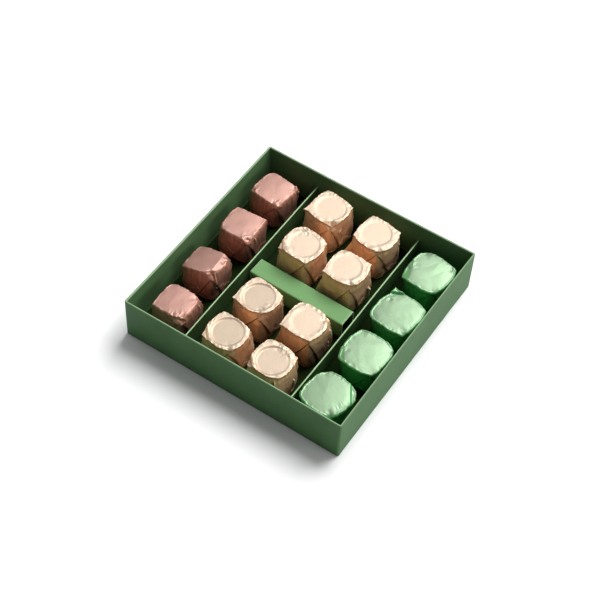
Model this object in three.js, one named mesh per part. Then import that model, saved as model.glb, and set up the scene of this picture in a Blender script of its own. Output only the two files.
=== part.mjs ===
// A square open tray of paper-wrapped board that holds sixteen foil-wrapped pralines.
// Two card dividers make three rows, and a folded card bridge spaces the middle row.
// Millimetres, +Z up. The origin is at the middle of the tray's underside.
// +X runs from the rose row to the mint row, +Y runs from the front wall to the back wall.

import * as THREE from 'three';

// Tray
const trayWidth = 165;
const trayHeight = 34.4;
const wallBoard = 1.3;
const floorBoard = 2;
const trayCornerRadius = 1.4;
const rimRound = 0.4;
const gap = 0.3;

// Dividers
const dividerThickness = 0.9;
const dividerHeight = 18.1;
const dividerOffset = 40.8;

// Bridge
const bridgeLength = 73.8;
const bridgeWidth = 13.8;
const bridgeHeight = 15.5;
const bridgeCard = 0.8;
const bridgeFold = 1.1;
const bridgeCentre = [-0.8, 0.5];
const bridgeTurn = -1.3;

// Pralines: what the three kinds share
const stepsRound = 32;
const barrelSquareness = 1.1;
const barrelEase = 0.2;
const barrelOver = 1.5;
const skirtUp = 9;
const earSpread = 9;
const pleatRelief = 0.45;

// A kind's levels climb from the foot to the middle of the top. up is measured from the foot and
// down from the top. collar runs from 0, the barrel's outline, to 1, the collar's outline with its
// ears. A level with circle is round, as the rim of the dimple is.
const gold = {
  name: 'gold',
  height: 28.7,
  barrelHalf: 13.1,
  footReach: 16.4,
  shoulderReach: 15.6,
  squareness: 1.22,
  levels: [
    { up: 0, collar: 0, scale: 0.96 },
    { up: 0.9, collar: 0, scale: 1.0 },
    { up: 6, collar: 0, scale: 1.05 },
    { up: 12, collar: 0, scale: 1.045 },
    { up: 18, collar: 0.05, scale: 1.0 },
    { up: 22.6, collar: 0.3, scale: 0.965 },
    { down: 3.1, collar: 0.65, scale: 0.955 },
    { down: 1.2, collar: 0.95, scale: 0.975 },
    { down: 0.3, collar: 1, scale: 1.0 },
    { down: 0, collar: 1, scale: 0.96 },
    { down: 0, circle: 11.2 },
    { down: 0.5, circle: 10.2 },
  ],
};
const rose = {
  name: 'rose',
  height: 24.2,
  barrelHalf: 12.9,
  footReach: 16.2,
  shoulderReach: 15.6,
  squareness: 1.2,
  levels: [
    { up: 0, collar: 0, scale: 0.95 },
    { up: 1, collar: 0, scale: 0.98 },
    { up: 6, collar: 0, scale: 1.0 },
    { up: 12, collar: 0, scale: 1.01 },
    { up: 16.5, collar: 0.3, scale: 1.0 },
    { up: 19.4, collar: 0.8, scale: 0.995 },
    { up: 20.8, collar: 1, scale: 0.985 },
    { down: 1.8, collar: 1, scale: 0.935 },
    { down: 0.6, collar: 1, scale: 0.88 },
    { down: 0, collar: 1, scale: 0.8 },
    { down: -0.2, collar: 1, scale: 0.4 },
  ],
};
const mint = {
  name: 'mint',
  height: 21.4,
  barrelHalf: 13.0,
  footReach: 16.0,
  shoulderReach: 15.6,
  squareness: 1.25,
  levels: [
    { up: 0, collar: 0, scale: 0.95 },
    { up: 1, collar: 0, scale: 0.98 },
    { up: 6, collar: 0, scale: 1.0 },
    { up: 11, collar: 0.1, scale: 1.0 },
    { up: 15, collar: 0.35, scale: 0.985 },
    { up: 17.4, collar: 0.65, scale: 0.975 },
    { up: 18.9, collar: 0.92, scale: 0.98 },
    { down: 1.3, collar: 1, scale: 0.995 },
    { down: 0.4, collar: 1, scale: 0.97 },
    { down: 0, collar: 1, scale: 0.9 },
    { down: -0.2, collar: 1, scale: 0.45 },
  ],
};

// Where each praline stands and how uneven it is. turn is about Z, in degrees. half is its half
// width at the collar to the east, north, west and south. reach is how far the corners at 45, 135,
// 225 and 315 degrees stand out from its axis, and droop is how far each corner's ear hangs below
// the top. skirt is how far a corner of the barrel stands out low down. The top slopes by slope
// degrees, down towards slopeTo.
const pralines = [
  {
    kind: rose, at: [-61.9, 57.9], turn: -7, half: [13.6, 12.4, 13.0, 12.8],
    reach: [17.4, 16.1, 15.8, 17.2], droop: [1, 0.3, 0.8, 0.6],
  },
  {
    kind: rose, at: [-61.9, 19.6], turn: 3, half: [13.4, 12.4, 12.6, 12.4],
    reach: [18.2, 16.3, 14.8, 16.2], droop: [0.3, 0.2, 0.5, 0.8],
  },
  {
    kind: rose, at: [-63.0, -19.6], turn: 4, half: [13.4, 12.2, 12.6, 13.0],
    reach: [15.0, 16.2, 17.6, 13.6], droop: [0.8, 0.3, 1.0, 1.2], slope: 8, slopeTo: 125,
  },
  {
    kind: rose, at: [-59.2, -58.0], turn: 0, half: [13.2, 12.2, 12.8, 12.4],
    reach: [14.6, 15.4, 17.0, 15.4], droop: [0.8, 0.3, 0.2, 1.4],
  },
  {
    kind: gold, at: [-19.2, 61.9], turn: -7, half: [13.4, 12.4, 12.8, 13.0],
    reach: [16.6, 16.2, 17.8, 14.6], droop: [0.4, 0.2, 0.1, 1.2],
  },
  {
    kind: gold, at: [18.0, 60.9], turn: -7, half: [15.3, 12.6, 12.3, 13.1],
    reach: [17.6, 16.1, 15.2, 15.2], droop: [0.3, 0.2, 0.1, 0.8], skirt: [0, 0, 3, 0.5],
  },
  {
    kind: gold, at: [-16.8, 25.2], turn: -6, half: [14.2, 13.3, 13.2, 12.6],
    reach: [15.4, 15.1, 16.4, 16.6], droop: [0.6, 0.2, 2.0, 0.2],
  },
  {
    kind: gold, at: [17.4, 25.1], turn: -1, half: [15.0, 13.0, 12.4, 12.6],
    reach: [17.9, 15.1, 16.1, 14.6], droop: [0.2, 0.2, 0.1, 0.9], skirt: [0.5, 0, 2, 0.5],
  },
  {
    kind: gold, at: [-16.4, -27.6], turn: -8, half: [14.4, 12.8, 12.9, 12.5],
    reach: [16.8, 15.8, 16.6, 13.4], droop: [0.1, 0.1, 0.1, 0.7],
  },
  {
    kind: gold, at: [20.0, -26.4], turn: -3, half: [13.8, 12.7, 13.4, 12.6],
    reach: [15.7, 16.2, 17.5, 15.7], droop: [1.2, 0.3, 0.1, 0.1], skirt: [0.5, 0, 3, 0],
  },
  {
    kind: gold, at: [-17.0, -61.8], turn: -4, half: [14.3, 12.0, 13.0, 13.2],
    reach: [15.4, 16.1, 15.8, 14.8], droop: [0.3, 0.2, 1.2, 1],
  },
  {
    kind: gold, at: [18.8, -63.7], turn: -4, half: [14.0, 14.0, 12.9, 12.0],
    reach: [17.0, 16.2, 15.6, 14.0], droop: [0.2, 0.3, 2.8, 0.4],
  },
  {
    kind: mint, at: [61.8, 59.5], turn: -7, half: [15.8, 14.6, 15.3, 15.5],
    reach: [18.2, 17.3, 18.4, 17.2], droop: [0.4, 0.8, 2.4, 0.5], slope: 3, slopeTo: 250,
  },
  {
    kind: mint, at: [62.7, 18.9], turn: -7, half: [15.0, 15.3, 16.5, 15.5],
    reach: [18.3, 18.6, 18.9, 18.3], droop: [0.2, 0.5, 0.6, 0.8],
  },
  {
    kind: mint, at: [62.6, -20.1], turn: -3, half: [14.8, 15.8, 16.3, 15.2],
    reach: [17.9, 19.8, 18.4, 17.4], droop: [0.5, 0.4, 2.6, 0.5],
  },
  {
    kind: mint, at: [58.9, -60.1], turn: -8, half: [16.4, 16.0, 15.5, 15.3],
    reach: [18.6, 17.1, 17.8, 17.2], droop: [1.6, 0.5, 0.3, 1.4], slope: 3, slopeTo: 215,
  },
];

const greenPaper = new THREE.MeshStandardMaterial({ name: 'green_paper', color: 0x6f9468, roughness: 0.75 });
const greenCard = new THREE.MeshStandardMaterial({ name: 'green_card', color: 0x769d6e, roughness: 0.7 });
const foils = {
  gold: new THREE.MeshStandardMaterial({ name: 'gold_foil', color: 0xf3d9b4, roughness: 0.35, metalness: 1 }),
  rose: new THREE.MeshStandardMaterial({ name: 'rose_foil', color: 0xdda896, roughness: 0.35, metalness: 1 }),
  mint: new THREE.MeshStandardMaterial({ name: 'mint_foil', color: 0xb4ddae, roughness: 0.35, metalness: 1 }),
};

const degrees = Math.PI / 180;

// Joins rings of points, all with as many points, into one closed skin. The first and the last
// ring are filled from their middle. Rings run anticlockwise seen from above, from the underside
// outwards, up, and in again.
function loft(rings) {
  const count = rings[0].length;
  const positions = rings.flat(2);
  const triangles = [];
  for (let k = 0; k + 1 < rings.length; k += 1) {
    for (let i = 0; i < count; i += 1) {
      const next = (i + 1) % count;
      const low = k * count;
      const high = low + count;
      triangles.push(low + i, low + next, high + next, low + i, high + next, high + i);
    }
  }
  const middle = (ring) => [0, 1, 2].map((axis) => ring.reduce((sum, p) => sum + p[axis], 0) / count);
  const last = (rings.length - 1) * count;
  const foot = rings.length * count;
  positions.push(...middle(rings[0]), ...middle(rings[rings.length - 1]));
  for (let i = 0; i < count; i += 1) {
    const next = (i + 1) % count;
    triangles.push(foot, next, i, foot + 1, last + i, last + next);
  }
  const geometry = new THREE.BufferGeometry();
  geometry.setAttribute('position', new THREE.Float32BufferAttribute(positions, 3));
  geometry.setIndex(triangles);
  geometry.computeVertexNormals();
  return geometry;
}

// A square ring with rounded corners, half its width, at height z.
function squareRing(half, radius, z) {
  const cornerSteps = 4;
  const ring = [];
  for (let corner = 0; corner < 4; corner += 1) {
    const start = corner * 90 * degrees;
    const middle = start + 45 * degrees;
    const reach = (half - radius) * Math.SQRT2;
    for (let i = 0; i <= cornerSteps; i += 1) {
      const angle = start + (i / cornerSteps) * 90 * degrees;
      const x = reach * Math.cos(middle) + radius * Math.cos(angle);
      const y = reach * Math.sin(middle) + radius * Math.sin(angle);
      ring.push([x, y, z]);
    }
  }
  return ring;
}

function trayGeometry() {
  const outer = trayWidth / 2;
  const inner = outer - wallBoard;
  const innerRadius = 0.4;
  const soft = rimRound * (1 - Math.SQRT1_2);
  return loft([
    squareRing(outer - rimRound, trayCornerRadius - rimRound, 0),
    squareRing(outer, trayCornerRadius, rimRound),
    squareRing(outer, trayCornerRadius, trayHeight - rimRound),
    squareRing(outer - soft, trayCornerRadius - soft, trayHeight - soft),
    squareRing(outer - rimRound, trayCornerRadius - rimRound, trayHeight),
    squareRing(inner + rimRound, innerRadius + rimRound, trayHeight),
    squareRing(inner + soft, innerRadius + soft, trayHeight - soft),
    squareRing(inner, innerRadius, trayHeight - rimRound),
    squareRing(inner, innerRadius, floorBoard),
  ]);
}

// A card strip folded into an upside-down U: the section is drawn across and pushed along X.
function bridgeGeometry() {
  const half = bridgeWidth / 2;
  const section = new THREE.Shape();
  section.moveTo(-half, 0);
  section.lineTo(-half + bridgeCard, 0);
  section.lineTo(-half + bridgeCard, bridgeHeight - bridgeFold);
  section.absarc(-half + bridgeFold, bridgeHeight - bridgeFold, bridgeFold - bridgeCard, Math.PI, Math.PI / 2, true);
  section.lineTo(half - bridgeFold, bridgeHeight - bridgeCard);
  section.absarc(half - bridgeFold, bridgeHeight - bridgeFold, bridgeFold - bridgeCard, Math.PI / 2, 0, true);
  section.lineTo(half - bridgeCard, 0);
  section.lineTo(half, 0);
  section.lineTo(half, bridgeHeight - bridgeFold);
  section.absarc(half - bridgeFold, bridgeHeight - bridgeFold, bridgeFold, 0, Math.PI / 2, false);
  section.lineTo(-half + bridgeFold, bridgeHeight);
  section.absarc(-half + bridgeFold, bridgeHeight - bridgeFold, bridgeFold, Math.PI / 2, Math.PI, false);
  section.closePath();
  const geometry = new THREE.ExtrudeGeometry(section, {
    depth: bridgeLength,
    bevelEnabled: false,
    curveSegments: 5,
  });
  geometry.rotateX(Math.PI / 2);
  geometry.rotateZ(Math.PI / 2);
  geometry.translate(-bridgeLength / 2, 0, 0);
  return geometry;
}

// The angle between a direction and the nearest corner of a square, with that corner's number.
function nearestCorner(angle) {
  const quarter = ((angle / (90 * degrees)) % 4 + 4) % 4;
  const corner = Math.floor(quarter);
  return { corner, away: Math.abs(quarter - corner - 0.5) * 90 };
}

// An outline's radius: in each quarter a superellipse between the half widths of its two sides. Its
// corner stands at its reach, or as far out as squareness allows, and is drawn out from there as an ear.
function outlineRadius(halves, reach, squareness, angle) {
  const { corner, away } = nearestCorner(angle);
  const a = Math.cos(angle) >= 0 ? halves[0] : halves[2];
  const b = Math.sin(angle) >= 0 ? halves[1] : halves[3];
  const full = Math.sqrt(2 * a * b);
  const rounded = Math.min(reach[corner], full / squareness);
  const n = Math.LN2 / Math.log(full / rounded);
  const radius = ((Math.abs(Math.cos(angle)) / a) ** n + (Math.abs(Math.sin(angle)) / b) ** n) ** (-1 / n);
  const ear = reach[corner] / rounded - 1;
  return radius * (1 + ear * Math.exp(-away / earSpread));
}

// The barrel's outline: a square with well rounded corners, part of the way towards the collar's
// half widths, squarer at the foot, with skirts at some corners.
function barrelRadius(kind, piece, angle, z) {
  const halves = piece.half.map((half) => {
    const limited = Math.min(half, kind.barrelHalf + barrelOver);
    return (kind.barrelHalf + barrelEase + limited) / 2;
  });
  const plain = kind.footReach + (kind.shoulderReach - kind.footReach) * (z / kind.height);
  const spread = Math.exp(-(((z - skirtUp) / skirtUp) ** 2));
  const reach = [0, 1, 2, 3].map((corner) => plain + (piece.skirt?.[corner] ?? 0) * spread);
  return outlineRadius(halves, reach, barrelSquareness, angle);
}

// The folded flap on each side: a V that opens upwards and stands a little proud of the barrel.
function pleat(angle, share) {
  const { away } = nearestCorner(angle);
  const across = Math.tan((45 - away) * degrees);
  return across < 1.1 * share - 0.15 ? pleatRelief : 0;
}

function pralineGeometry(piece) {
  const { kind } = piece;
  const lean = Math.tan((piece.slope ?? 0) * degrees);
  const leanTo = ((piece.slopeTo ?? 0) - piece.turn) * degrees;
  const rings = kind.levels.map((level) => {
    const z = level.up ?? kind.height - level.down;
    const share = z / kind.height;
    const ring = [];
    for (let i = 0; i < stepsRound; i += 1) {
      const angle = (i / stepsRound) * 360 * degrees;
      const { corner, away } = nearestCorner(angle);
      const barrel = barrelRadius(kind, piece, angle, z) + pleat(angle, share);
      const collar = outlineRadius(piece.half, piece.reach, kind.squareness, angle);
      const outline = level.scale * (barrel + (collar - barrel) * level.collar);
      const r = level.circle ?? outline;
      const x = r * Math.cos(angle);
      const y = r * Math.sin(angle);
      const ear = level.collar ? level.collar * level.scale ** 6 : 0;
      const sag = piece.droop[corner] * ear * Math.exp(-((away / earSpread) ** 2));
      const slant = lean * share ** 2 * (x * Math.cos(leanTo) + y * Math.sin(leanTo));
      ring.push([x, y, z - sag - slant]);
    }
    return ring;
  });
  return loft(rings);
}

const group = new THREE.Group();

function place(name, geometry, material, x, y, z, turn = 0) {
  const mesh = new THREE.Mesh(geometry, material);
  mesh.name = name;
  mesh.position.set(x, y, z);
  mesh.rotation.z = turn * degrees;
  group.add(mesh);
}

const onFloor = floorBoard + gap;
const dividerLength = trayWidth - 2 * wallBoard - 2 * gap;

place('tray', trayGeometry(), greenPaper, 0, 0, 0);

for (const [name, side] of [['divider_left', -1], ['divider_right', 1]]) {
  const divider = new THREE.BoxGeometry(dividerThickness, dividerLength, dividerHeight);
  place(name, divider, greenCard, side * dividerOffset, 0, onFloor + dividerHeight / 2);
}

place('bridge', bridgeGeometry(), greenCard, ...bridgeCentre, onFloor, bridgeTurn);

const counts = {};
for (const piece of pralines) {
  const kind = piece.kind.name;
  counts[kind] = (counts[kind] ?? 0) + 1;
  place(`praline_${kind}_${counts[kind]}`, pralineGeometry(piece), foils[kind], ...piece.at, onFloor, piece.turn);
}

export default group;
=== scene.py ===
# %% [markdown]
# # A box of foil-wrapped pralines
#
# The object is a square tray of board, wrapped in matt green paper. Two card dividers make three
# rows in it: four pralines in rose foil, eight in gold foil and four in mint foil. A folded card
# bridge keeps the two groups of gold pralines apart.
#
# The CAD model gives every piece its place and size. This notebook makes each one again with the
# detail that the eye expects: folds, ears and creases in the foil, paper grain and pale cut edges.

# %% Load the frame
from math import cos, log, pi, radians, sin, sqrt, tan

import bpy
import numpy as np
from mathutils import Matrix, Vector


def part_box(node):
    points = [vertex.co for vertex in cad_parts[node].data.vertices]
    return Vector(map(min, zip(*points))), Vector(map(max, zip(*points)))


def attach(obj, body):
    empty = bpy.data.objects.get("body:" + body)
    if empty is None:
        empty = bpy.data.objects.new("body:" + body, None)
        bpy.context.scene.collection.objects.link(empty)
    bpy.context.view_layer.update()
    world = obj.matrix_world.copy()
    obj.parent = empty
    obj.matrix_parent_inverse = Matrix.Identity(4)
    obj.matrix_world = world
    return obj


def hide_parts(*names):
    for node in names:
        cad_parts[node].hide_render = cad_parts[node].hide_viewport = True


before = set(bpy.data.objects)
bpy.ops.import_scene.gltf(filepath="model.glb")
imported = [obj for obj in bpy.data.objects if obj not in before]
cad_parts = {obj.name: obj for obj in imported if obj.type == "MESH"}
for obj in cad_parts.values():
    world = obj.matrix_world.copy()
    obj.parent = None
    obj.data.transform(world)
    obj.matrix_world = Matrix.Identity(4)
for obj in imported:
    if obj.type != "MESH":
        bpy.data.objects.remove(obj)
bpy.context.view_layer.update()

# %% [markdown]
# ## Small tools
#
# Sizes are in millimetres until the last moment, because that is how a box maker thinks. Blender
# works in metres, so one function turns a grid of points into a mesh and multiplies by 0.001
# there.
#
# Almost every piece here is one closed skin: a grid whose columns run round the piece and whose
# rows run from the middle of its underside, outwards, up, and in again. A grid like that can be
# worked out as whole numpy arrays, and it has no seams to close.

# %% Turn a grid of points into a piece
MM = 0.001


def finish_piece(name, points, faces, material, node, mark):
    """Makes the mesh, gives it its material, and rides it on the frame in place of its CAD node.

    points are in millimetres. mark is a number on each point that the material reads. On board and
    card it is above 0 where the sheet is paler: the cut edge of card, and painted light on the
    tray's rim and inner walls. Below 0 the sheet is painted dark, painted shade. On foil it is 0 on
    top, 1 on the sides with a painted bounce tint, up to 2 in a crease with painted shade, and −1
    on a loose edge with a painted highlight.
    """
    mesh = bpy.data.meshes.new(name)
    mesh.from_pydata((points * MM).tolist(), [], faces)
    mesh.shade_smooth()
    layer = mesh.attributes.new("mark", "FLOAT", "POINT")
    layer.data.foreach_set("value", mark.astype(np.float32))
    mesh.materials.append(material)
    piece = bpy.data.objects.new(name, mesh)
    bpy.context.collection.objects.link(piece)
    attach(piece, "root")
    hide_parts(node)
    return piece


def ring_quads(rows, columns):
    """Point numbers of a grid, the same one column on, and the quads between them.

    Each quad joins two neighbours in a row to the two above them, and the last column joins the
    first.
    """
    index = np.arange(rows * columns).reshape(rows, columns)
    beside = np.roll(index, -1, axis=1)
    quads = np.stack([index[:-1], beside[:-1], beside[1:], index[1:]], axis=-1).reshape(-1, 4)
    return index, beside, quads


def skin(name, grid, material, node, mark):
    """Closes a grid, rows by columns by XYZ, into a piece.

    A fan from the mean point closes the first row, and another one the last row.
    """
    rows, columns, _ = grid.shape
    index, beside, quads = ring_quads(rows, columns)
    first = np.full(columns, rows * columns)
    foot = np.stack([first, beside[0], index[0]], axis=-1)
    top = np.stack([first + 1, index[-1], beside[-1]], axis=-1)
    faces = quads.tolist() + foot.tolist() + top.tolist()
    points = np.vstack([grid.reshape(-1, 3), grid[0].mean(0), grid[-1].mean(0)])
    ends = [mark[0].mean(keepdims=True), mark[-1].mean(keepdims=True)]
    mark = np.concatenate([mark.reshape(-1)] + ends)
    return finish_piece(name, points, faces, material, node, mark)


def smoothstep(value):
    """0 below 0, 1 above 1, and between them 3v² − 2v³, which leaves and arrives without a kink."""
    value = np.clip(value, 0, 1)
    return value * value * (3 - 2 * value)


def bump(distance, width):
    """A bell: 1 at distance 0, and e to the minus (distance / width)² away from it."""
    return np.exp(-((distance / width) ** 2))


# %% [markdown]
# ## Crumpled foil
#
# Foil doesn't wave like cloth. It folds along straight creases and stays flat between them, so a
# smooth noise looks wrong on it. This noise is linear instead: random heights sit on the corners
# of a lattice, each cell is split into six wedges, and the height between the corners is the plane
# through them. Cut by a surface, the wedges become flat facets with sharp creases. The lattice is
# turned and bent first, so that no two facets match.

# %% Facets
LATTICE = 32
BEND = 0.3
BEND_PITCH = 1.7


def crumple(points, size, seed):
    """Heights from −1 to 1 with flat facets about size millimetres across.

    The point's parts within its cell are sorted, largest first, and the path from the cell's
    low corner along those axes gives the four corners of its wedge. Their weights are the
    differences between neighbouring sorted parts.
    """
    random = np.random.default_rng(seed)
    heights = random.uniform(-1, 1, (LATTICE, LATTICE, LATTICE))
    turn, _ = np.linalg.qr(random.normal(size=(3, 3)))
    spot = points @ turn.T / size + random.uniform(0, LATTICE, 3)
    spot = spot + BEND * np.sin(BEND_PITCH * spot[..., [1, 2, 0]] + random.uniform(0, 6, 3))
    corner = np.floor(spot).astype(int)
    part = spot - corner
    order = np.argsort(-part, axis=-1)
    part = np.take_along_axis(part, order, axis=-1)
    weight = 1 - part[..., 0]
    height = weight * heights[tuple(np.moveaxis(corner % LATTICE, -1, 0))]
    for step in range(3):
        corner = corner + np.eye(3, dtype=int)[order[..., step]]
        weight = part[..., step] - (part[..., step + 1] if step < 2 else 0)
        height = height + weight * heights[tuple(np.moveaxis(corner % LATTICE, -1, 0))]
    return height


def outward(grid):
    """Unit normals of a grid: the step along the columns crossed with the step along the rows."""
    along = np.roll(grid, -1, axis=1) - np.roll(grid, 1, axis=1)
    up = np.gradient(grid, axis=0)
    normal = np.cross(along, up)
    return normal / np.maximum(np.linalg.norm(normal, axis=-1, keepdims=True), 1e-9)


# %% [markdown]
# ## Colours and nodes
#
# Colours are written as the sRGB hex values that a picture shows. Blender's shaders mix light, so
# they need linear values, and one function makes the change. Another adds a node with its settings
# and links, which keeps each material short enough to read.

# %% Colour and node helpers
def colour(code):
    """sRGB hex to linear: v / 12.92 up to 0.04045, above it ((v + 0.055) / 1.055) to the 2.4."""
    parts = [int(code[i:i + 2], 16) / 255 for i in (1, 3, 5)]
    return [v / 12.92 if v <= 0.04045 else ((v + 0.055) / 1.055) ** 2.4 for v in parts] + [1.0]


def add(tree, kind, inputs=None, **settings):
    """Adds a shader node. inputs maps a socket's name or number to a value or to a socket."""
    node = tree.nodes.new("ShaderNode" + kind)
    for name, value in settings.items():
        setattr(node, name, value)
    for name, value in (inputs or {}).items():
        if isinstance(value, bpy.types.NodeSocket):
            tree.links.new(value, node.inputs[name])
        else:
            node.inputs[name].default_value = value
    return node


def new_material(name):
    """An empty material and its node tree."""
    material = bpy.data.materials.new(name)
    material.use_nodes = True
    material.node_tree.nodes.clear()
    return material, material.node_tree


def per_metre(size):
    """The scale that repeats a pattern every size millimetres on Object coordinates in metres."""
    return 1 / (size * MM)


# %% [markdown]
# ## Aluminium foil, lacquered gold, rose and mint
#
# Confectioner's foil is aluminium about 0.01 mm thick, rolled and coated with a tinted lacquer. To
# the eye it is a coloured metal with a satin gloss, part mirror and part matt. The flat tops show
# the soft light above them as an even pale tone. In the folds down the sides the light meets the
# lacquer two or three times on its way out, and each time its colour deepens, so gold turns to
# copper there. The mark on the mesh says where the sides are, and a deeper tint is painted there
# in its place, a painted reflection. Above 1 it darkens the foil, painted shade for the bottom of a
# crease, where almost no light gets out, and for the lower side. Below 0 it brightens it, a painted
# highlight for a loose edge that curls out into the light.
#
# The foil also has wrinkles finer than the mesh can hold. A bump from a fine noise gives them.

# %% Foil materials
METAL_SHARE = 0.55
CREASE_PAINTED_SHADE = 0.12
EDGE_GLINT = 3.2
BRIGHTEST = 0.96
MOTTLE_SIZE = 7
WRINKLE_SIZE = 1.6
WRINKLE_HEIGHT = 0.12


def foil_material(name, tint, painted_bounce_tint, roughness):
    """Satin metal: the mark mixes the two tints, a noise mottles them, a finer one wrinkles it."""
    material, tree = new_material(name)
    place = add(tree, "TexCoord").outputs["Object"]
    mottle = add(tree, "TexNoise", {
        "Vector": place, "Scale": per_metre(MOTTLE_SIZE), "Detail": 2.0}).outputs["Fac"]
    mark = add(tree, "Attribute", attribute_name="mark").outputs["Fac"]
    deep = add(tree, "Math", {0: mark}, operation="ABSOLUTE")
    # painted reflection: the mark mixes the top tint with the deeper bounce tint of the sides
    tone = add(tree, "Mix", {
        "Factor": deep.outputs["Value"], "A": colour(tint), "B": colour(painted_bounce_tint)},
        data_type="RGBA")
    # painted shade: above 1 the mark darkens the foil, most at 2 in a crease
    fold = add(tree, "MapRange", {
        "Value": mark, "From Min": 1.0, "From Max": 2.0, "To Min": 1.0, "To Max": CREASE_PAINTED_SHADE})
    shade = add(tree, "MapRange", {"Value": mottle, "To Min": 0.93, "To Max": 1.05})
    # painted highlight: below 0 the mark brightens the foil, most at −1 on a loose edge
    glint = add(tree, "MapRange", {
        "Value": mark, "From Min": -1.0, "From Max": 0.0, "To Min": EDGE_GLINT, "To Max": 1.0})
    dim = add(tree, "Math", {
        0: shade.outputs["Result"], 1: fold.outputs["Result"]}, operation="MULTIPLY")
    light = add(tree, "Math", {
        0: dim.outputs["Value"], 1: glint.outputs["Result"]}, operation="MULTIPLY")
    mottled = add(tree, "VectorMath", {
        0: tone.outputs["Result"], "Scale": light.outputs["Value"]}, operation="SCALE")
    capped = add(tree, "VectorMath", {
        0: mottled.outputs["Vector"], 1: (BRIGHTEST, BRIGHTEST, BRIGHTEST)}, operation="MINIMUM")
    rough = add(tree, "MapRange", {
        "Value": mottle, "To Min": roughness - 0.04, "To Max": roughness + 0.05})
    wrinkles = add(tree, "TexNoise", {
        "Vector": place, "Scale": per_metre(WRINKLE_SIZE), "Detail": 3.0, "Roughness": 0.6})
    raised = add(tree, "Bump", {
        "Height": wrinkles.outputs["Fac"], "Strength": 0.4, "Distance": WRINKLE_HEIGHT * MM})
    foil = add(tree, "BsdfPrincipled", {
        "Base Color": capped.outputs["Vector"], "Metallic": METAL_SHARE,
        "Roughness": rough.outputs["Result"], "Normal": raised.outputs["Normal"]})
    add(tree, "OutputMaterial", {"Surface": foil.outputs["BSDF"]})
    return material


# Each kind's second colour is its painted bounce tint, a painted reflection on the sides.
foils = {
    "gold": foil_material("gold_foil", "#B4A28E", "#EEC096", 0.46),
    "rose": foil_material("rose_foil", "#A67F73", "#C68E7A", 0.46),
    "mint": foil_material("mint_foil", "#7D9678", "#62BC6E", 0.46),
}

# %% [markdown]
# ## Paper and card
#
# The tray is greyboard wrapped in dyed matt paper. Uncoated paper is a rough dielectric with a
# faint fibre grain. The dividers and the bridge are card of the same green, smoother, with cut
# edges that show a lighter core. The mark on the mesh says where a paler tone goes, so it follows
# the
# shape: the card's cut edges, a painted highlight on the tray's rim and painted light on its inner
# walls. Where the mark is below 0, on the tray's floor and the dividers' sides, the sheet is
# painted dark, painted shade, and has less gloss.

# %% Paper and card materials
PAINTED_SHADE_TONE = "#1B2812"
SHEET_GLOSS = 0.22
CLOUD_SIZE = 18
GRAIN_HEIGHT = 0.06


def paper_material(name, base, dark, edge_tone, grain, roughness):
    """A matt dielectric: two tones mixed by fibres, a paler one on edges, grain in the bump."""
    material, tree = new_material(name)
    place = add(tree, "TexCoord").outputs["Object"]
    cloud = add(tree, "TexNoise", {"Vector": place, "Scale": per_metre(CLOUD_SIZE), "Detail": 4.0})
    fibres = add(tree, "TexNoise", {
        "Vector": place, "Scale": per_metre(grain), "Detail": 3.0, "Roughness": 0.7})
    blend = add(tree, "Math", {
        0: cloud.outputs["Fac"], 1: fibres.outputs["Fac"]}, operation="MULTIPLY")
    tone = add(tree, "Mix", {
        "Factor": blend.outputs["Value"], "A": colour(dark), "B": colour(base)},
        data_type="RGBA")
    mark = add(tree, "Attribute", attribute_name="mark").outputs["Fac"]
    # painted light: above 0 the mark mixes in the pale tone, a painted highlight on the tray's rim
    # and painted light on its inner walls; on card's cut edges it is the core's own colour
    cut_edge_and_painted_light = add(tree, "Math", {0: mark, 1: 0.0}, operation="MAXIMUM")
    paled = add(tree, "Mix", {
        "Factor": cut_edge_and_painted_light.outputs["Value"], "A": tone.outputs["Result"], "B": colour(edge_tone)},
        data_type="RGBA")
    # painted shade: below 0 the mark mixes in the dark tone and takes the gloss away
    inside = add(tree, "Math", {0: mark, 1: -1.0}, operation="MULTIPLY")
    painted_dark = add(tree, "Mix", {
        "Factor": inside.outputs["Value"], "A": paled.outputs["Result"], "B": colour(PAINTED_SHADE_TONE)},
        data_type="RGBA")
    gloss = add(tree, "MapRange", {
        "Value": mark, "From Min": -1.0, "From Max": 0.0, "To Min": 0.0, "To Max": SHEET_GLOSS})
    raised = add(tree, "Bump", {
        "Height": fibres.outputs["Fac"], "Strength": 0.35, "Distance": GRAIN_HEIGHT * MM})
    paper = add(tree, "BsdfPrincipled", {
        "Base Color": painted_dark.outputs["Result"], "Roughness": roughness,
        "Specular IOR Level": gloss.outputs["Result"], "Normal": raised.outputs["Normal"]})
    add(tree, "OutputMaterial", {"Surface": paper.outputs["BSDF"]})
    return material


# Paper fibres are about 0.05 mm wide. They are drawn 0.7 mm wide on the paper and 0.9 mm on the
# card, so that they show at this size.
green_paper = paper_material("green_paper", "#557D4E", "#3A5F36", "#94B08B", 0.7, 0.6)
green_card = paper_material("green_card", "#76A16B", "#5E8853", "#98B78B", 0.9, 0.58)

# %% [markdown]
# ## The tray
#
# A tray like this is one blank of board, scored, folded up and wrapped: walls of 1.3 mm on a floor
# of 2 mm. Its section, from the middle of the underside round the wall to the middle of the floor,
# is swept round a square path with small rounded corners. Long board walls never stay quite
# straight, so each one leans in a few tenths of a millimetre at its middle, most at the rim.

# %% The tray's sizes and its path
TRAY_HALF, _, TRAY_HEIGHT = np.array(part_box("tray")[1]) / MM
WALL = 1.3
FLOOR_BOARD = 2.0
OUTER_CORNER = 1.4
INNER_CORNER = 0.4
RIM_ROUND = 0.45
WALL_LEAN = 0.35
CORNER_STEPS = 8
SIDE_STEPS = 28


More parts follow.
